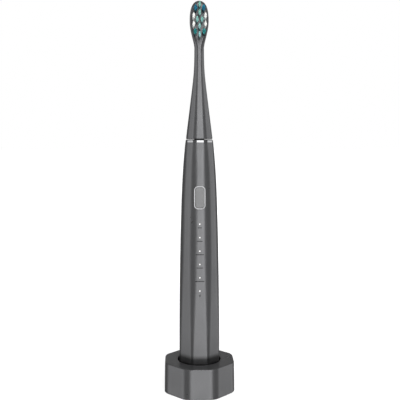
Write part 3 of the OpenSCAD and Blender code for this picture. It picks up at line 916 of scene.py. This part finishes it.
def make_light_lenses():
    """A small domed lens over each indicator light's pin."""
    steps = 5
    dome, depth, least = 0.1, 0.6, 0.02
    solids = []
    for z in light_places():
        face = -handle_half(z)
        rings = []
        for k in range(steps + 1):
            turn = math.pi / 2 * k / steps
            size = max(LENS_RADIUS * math.sin(turn), least)
            rings.append(disc(size, face - dome * math.cos(turn), z))
        rings.append(disc(LENS_RADIUS, face + depth, z))
        solids.append((rings, False))
    lenses = lofts("indicator_lenses", solids)
    finish_piece(lenses, "handle", LOOKS["clear_guide"], "clear_guide")


def bar(width, height, z):
    """A printed bar with round ends that lies on the front facet, as a closed skin."""
    place = front_frame(z)
    half = min(width, height) / 2
    rings = []
    for inset, y in ((0, PRINT_SUNK), (0, -PRINT_THICK * 0.5), (half * 0.2, -PRINT_THICK)):
        ring = plate(width / 2 - inset, height / 2 - inset, half - inset, y, 4)
        rings.append([place @ p for p in ring])
    return rings, False


def make_printed_marks():
    """Plain dashes below the mode lights and a small charging flash below the lowest light."""
    widths = (6.2, 4.4, 5.4, 3.8, 2.8)
    bar_height, bar_drop, flash_drop = 0.5, 2.4, 3.2
    places = [z - bar_drop for z in light_places()[1:]]
    solids = [bar(width, bar_height, z) for width, z in zip(widths, places)]
    flash = [(0.45, 1.35), (-0.8, -0.25), (0, -0.25), (-0.45, -1.35), (0.8, 0.25), (0, 0.25)]
    place = front_frame(light_places()[0] - flash_drop)
    rings = [[place @ Vector((x, y, z)) for x, z in flash] for y in (PRINT_SUNK, -PRINT_THICK)]
    solids.append((rings, False))
    marks = lofts("printed_marks", solids, sharp=60)
    finish_piece(marks, "handle", LOOKS["print"], "dark_plastic")


# ---------------------------------------------------------------- brush head


def skirt_half(z):
    """Half the brush head's width across flats, from its foot to the top of the neck."""
    flare = math.log(1 + math.exp((SKIRT_END - z) / SKIRT_BLEND))
    return NECK_HALF + SKIRT_SLOPE * SKIRT_BLEND * flare


def oval_half(z, inset=0.0):
    """Half the width of the oval at height z, inside an edge of width inset."""
    if z < OVAL_MIDDLE:
        t = (max(0, z - OVAL_BOTTOM) / (OVAL_MIDDLE - OVAL_BOTTOM)) ** OVAL_LEAD
        return NECK_HALF + (OVAL_HALF - NECK_HALF) * t * t * (3 - 2 * t) - inset
    rise = (z - OVAL_MIDDLE) / (HEAD_TIP - inset - OVAL_MIDDLE)
    return (OVAL_HALF - inset) * max(0, 1 - rise ** OVAL_POWER) ** (1 / OVAL_POWER)


def head_section(z):
    """A ring of the brush head: a regular octagon low down, a flat oval plate further up."""
    share = smooth(PLATE_START, PLATE_END, z)
    half = oval_half(z) if z > OVAL_BOTTOM else skirt_half(z)
    neck_leg = half * (1 - math.tan(math.pi / 8))
    leg = neck_leg + (PLATE_RIM - neck_leg) * share
    fall = neck_leg + (PLATE_FALL - neck_leg) * share
    front = skirt_half(z) + (PLATE_FRONT - skirt_half(z)) * share
    rear = skirt_half(z) + (PLATE_BACK - skirt_half(z)) * share
    face = max(0, half - leg) if z < OVAL_MIDDLE else oval_half(z, leg)
    over = max(0, z - (HEAD_TIP - leg))
    top = over * fall / leg
    side_front, side_rear = -front + fall, rear - leg
    corners = [(half, side_front), (half, side_rear), (face, rear - over), (-face, rear - over),
               (-half, side_rear), (-half, side_front), (-face, -front + top), (face, -front + top)]
    crisper = 0.08 * smooth(176, 216, z)
    low_round = half * (SKIRT_CORNER - crisper)
    radius = low_round + (PLATE_CORNER - low_round) * share
    corners = corners[1:] + corners[:1]
    return rounded_section([Vector(c) for c in corners], [radius] * 8, z)


def make_head_shell():
    """The brush head's shell, from the tip down its outside and up its inside."""
    lip = 0.45
    oval_foot = 228
    mouth, mouth_edge, cavity_end = 7.3, 0.2, 5.2
    tip_steps, oval_steps, neck_steps = 26, 20, 44
    rings = [pole(HEAD_TIP, (PLATE_BACK - PLATE_FRONT) / 2)]
    for k in range(1, tip_steps):
        turn = math.pi / 2 * (1 - k / tip_steps)
        rings.append(head_section(OVAL_MIDDLE + (HEAD_TIP - OVAL_MIDDLE) * math.sin(turn)))
    for k in range(oval_steps):
        rings.append(head_section(OVAL_MIDDLE - (OVAL_MIDDLE - oval_foot) * k / oval_steps))
    foot = HEAD_LOW.z + 2 * lip
    for k in range(neck_steps + 1):
        rings.append(head_section(oval_foot - (oval_foot - foot) * k / neck_steps))
    half = skirt_half(foot)
    for across, along in bend()[1:]:
        reach = half - lip * across + 0.1 * along
        rings.append(octagon(reach, SKIRT_CORNER * half - lip * across, foot - 2 * lip * along))
    rings += [circle(mouth, HEAD_LOW.z), circle(mouth - mouth_edge, HEAD_LOW.z + mouth_edge)]
    rings += [circle(cavity_end, CAVITY_TOP), circle(SOCKET_RADIUS, CAVITY_TOP)]
    rings += [circle(SOCKET_RADIUS, SOCKET_TOP), pole(SOCKET_TOP)]
    shell = loft("head_shell_faceted", rings)
    finish_piece(shell, "brush_head", LOOKS["graphite_paint"], "graphite_paint", "head_shell")


def tuft_roots(half_x, half_z, pitch):
    """The places of a tuft's filaments: a close grid inside a pointed oval."""
    row_share = 0.866
    radius = (half_z ** 2 + half_x ** 2) / (2 * half_x)
    shift = radius - half_x
    rows = int(half_z / (pitch * row_share)) + 1
    columns = int(half_x / pitch) + 2
    places = []
    for row in range(-rows, rows + 1):
        for column in range(-columns, columns + 1):
            x = (column + 0.5 * (row % 2)) * pitch
            z = row * pitch * row_share
            if math.hypot(abs(x) + shift, z) < radius - pitch * 0.45:
                places.append((x, z))
    return places


def make_tufts(name, node, material):
    """Every filament of a node's tufts: a thin rod that leans out a little to a rounded tip."""
    random.seed(len(name) + 7)
    radius, pitch, sides = 0.102, 0.21, 6
    splay_x, splay_z, waver, uneven = 0.05, 0.03, 0.05, 0.12
    points, faces = [], []
    for low, high in islands(node):
        middle = (low + high) / 2
        half_x, half_z = (high.x - low.x) / 2 - TUFT_TRIM, (high.z - low.z) / 2
        for x, z in tuft_roots(half_x, half_z, pitch):
            lean_x = splay_x * x + random.uniform(-waver, waver)
            lean_z = splay_z * z + random.uniform(-waver, waver)
            edge = math.hypot(x / half_x, z / half_z)
            tip = low.y + random.uniform(0, uneven) + TUFT_DOME * edge ** 4
            root = Vector((middle.x + x, high.y - TUFT_SUNK, middle.z + z))
            rings = []
            for share, size in ((0, 1), (0.5, 1), (0.985, 1), (0.995, 0.85), (1, 0.5)):
                bent = share ** 2
                place = root + Vector((lean_x * bent, (tip - root.y) * share, lean_z * bent))
                ring = []
                for k in range(sides):
                    turn = 2 * math.pi * k / sides
                    spoke = Vector((math.cos(turn), 0, math.sin(turn)))
                    ring.append(place + spoke * radius * size)
                rings.append(ring)
            more_points, more_faces = loft_faces(rings, False, len(points))
            points += more_points
            faces += more_faces
    tufts = make_object(name, points, faces, sharp=80)
    tufts.modifiers.clear()
    finish_piece(tufts, "brush_head", LOOKS[material], material, node)


# ---------------------------------------------------------------- floor, lights, camera

PANEL_AWAY, PANEL_HEIGHT, PANEL_TALL = 1.2, 0.12, 1.7
ROOM_GREY = 0.12


def make_floor():
    """A plain pale floor, which glows more further out and gives the object no light."""
    half = 20
    mesh = bpy.data.meshes.new("floor")
    corners = [(-half, -half, 0), (half, -half, 0), (half, half, 0), (-half, half, 0)]
    mesh.from_pydata(corners, [], [(0, 1, 2, 3)])
    floor = bpy.data.objects.new("floor", mesh)
    bpy.context.scene.collection.objects.link(floor)
    material, shader = principled("floor_paint", (0.93, 0.93, 0.93), 0.8)
    shader.inputs["Emission Color"].default_value = (1, 1, 1, 1)
    tree = material.node_tree
    place = tree.nodes.new("ShaderNodeTexCoord")
    away = tree.nodes.new("ShaderNodeVectorMath")
    away.operation = "LENGTH"
    tree.links.new(place.outputs["Object"], away.inputs[0])
    near_glow, far_glow, near, far = 0.7, 1.1, 0.04, 0.5
    glow = spread(material, away.outputs["Value"], near_glow, far_glow, near, far)
    link(material, glow, shader, "Emission Strength")
    tone = spread(material, noise(material, 400, 2.0), 0, 1)
    link(material, mixed(material, tone, (0.92, 0.92, 0.92), (0.94, 0.94, 0.94)),
         shader, "Base Color")
    mesh.materials.append(material)
    floor.visible_glossy = False
    floor.visible_diffuse = False
    floor.visible_shadow = False


def softbox(name, azimuth, away, height, width, tall, radiance):
    """A rectangular soft light that faces the object's axis, out of the camera's sight.

    The azimuth is in degrees from the front of the object, and grows to the right.
    The other sizes are in metres.
    """
    turn = math.radians(azimuth)
    place = Vector((away * math.sin(turn), -away * math.cos(turn), height))
    target = Vector((0, 0, min(height, PANEL_HEIGHT)))
    light = bpy.data.lights.new(name, "AREA")
    light.shape = "RECTANGLE"
    light.size = width
    light.size_y = tall
    light.energy = radiance * math.pi * width * tall
    lamp = bpy.data.objects.new(name, light)
    lamp.location = place
    lamp.rotation_euler = (target - place).to_track_quat("-Z", "Y").to_euler()
    lamp.visible_camera = False
    bpy.context.scene.collection.objects.link(lamp)
    return lamp


def make_lights():
    """Soft panels on four sides, a second one in front, and a high one that gives no highlights."""
    softbox("front_softbox", 10, PANEL_AWAY, PANEL_HEIGHT, 0.66, PANEL_TALL, 1.4)
    softbox("front_upper_softbox", 10, 1.19, 0.34, 0.66, 0.92, 0.3)
    softbox("left_softbox", -79, PANEL_AWAY, PANEL_HEIGHT, 0.82, PANEL_TALL, 0.7)
    softbox("right_softbox", 102, PANEL_AWAY, PANEL_HEIGHT, 0.7, PANEL_TALL, 0.75)
    softbox("back_softbox", 188, PANEL_AWAY, -0.27, 0.66, 1.0, 0.9)
    fill = softbox("fill_softbox", 5, 1.35, 1.15, 1.4, 1.2, 3.3)
    fill.visible_glossy = False


def make_world():
    """White behind the object, and a dim room in its reflections."""
    world = bpy.data.worlds.new("studio")
    bpy.context.scene.world = world
    world.use_nodes = True
    tree = world.node_tree
    tree.nodes.clear()
    seen = tree.nodes.new("ShaderNodeBackground")
    seen.inputs["Color"].default_value = (1, 1, 1, 1)
    room = tree.nodes.new("ShaderNodeBackground")
    room.inputs["Color"].default_value = (ROOM_GREY, ROOM_GREY, ROOM_GREY, 1)
    path = tree.nodes.new("ShaderNodeLightPath")
    mix = tree.nodes.new("ShaderNodeMixShader")
    out = tree.nodes.new("ShaderNodeOutputWorld")
    tree.links.new(path.outputs["Is Camera Ray"], mix.inputs["Fac"])
    tree.links.new(room.outputs["Background"], mix.inputs[1])
    tree.links.new(seen.outputs["Background"], mix.inputs[2])
    tree.links.new(mix.outputs["Shader"], out.inputs["Surface"])


def make_camera():
    """A close view of the front from two degrees to one side, pitched down a little."""
    turn = math.radians(-2)
    pitch = math.radians(4.8)
    away, height, aside = 0.441, 0.1673, 0.00056
    data = bpy.data.cameras.new("camera")
    data.sensor_width = 36
    data.lens = 59
    data.clip_start = 0.01
    camera = bpy.data.objects.new("camera", data)
    right = Vector((math.cos(turn), math.sin(turn), 0))
    back = Vector((math.sin(turn), -math.cos(turn), 0))
    camera.location = back * away + right * aside + Vector((0, 0, height))
    camera.rotation_euler = (math.radians(90) - pitch, 0, turn)
    bpy.context.scene.collection.objects.link(camera)
    bpy.context.scene.camera = camera


dress_cad_nodes()
make_base_housing()
make_cord_gland()
make_feet()
make_handle_shell()
make_bottom_cap()
make_collar_ring()
make_shaft_seal()
make_button_rim()
make_power_button()
make_light_lenses()
make_printed_marks()
make_head_shell()
make_tufts("mint_filaments", "mint_tufts", MINT)
make_tufts("white_filaments", "white_tufts", WHITE)
make_tufts("teal_filaments", "teal_tufts", TEAL)
make_floor()
make_lights()
make_world()
make_camera()
bpy.context.scene.view_settings.view_transform = "Standard"
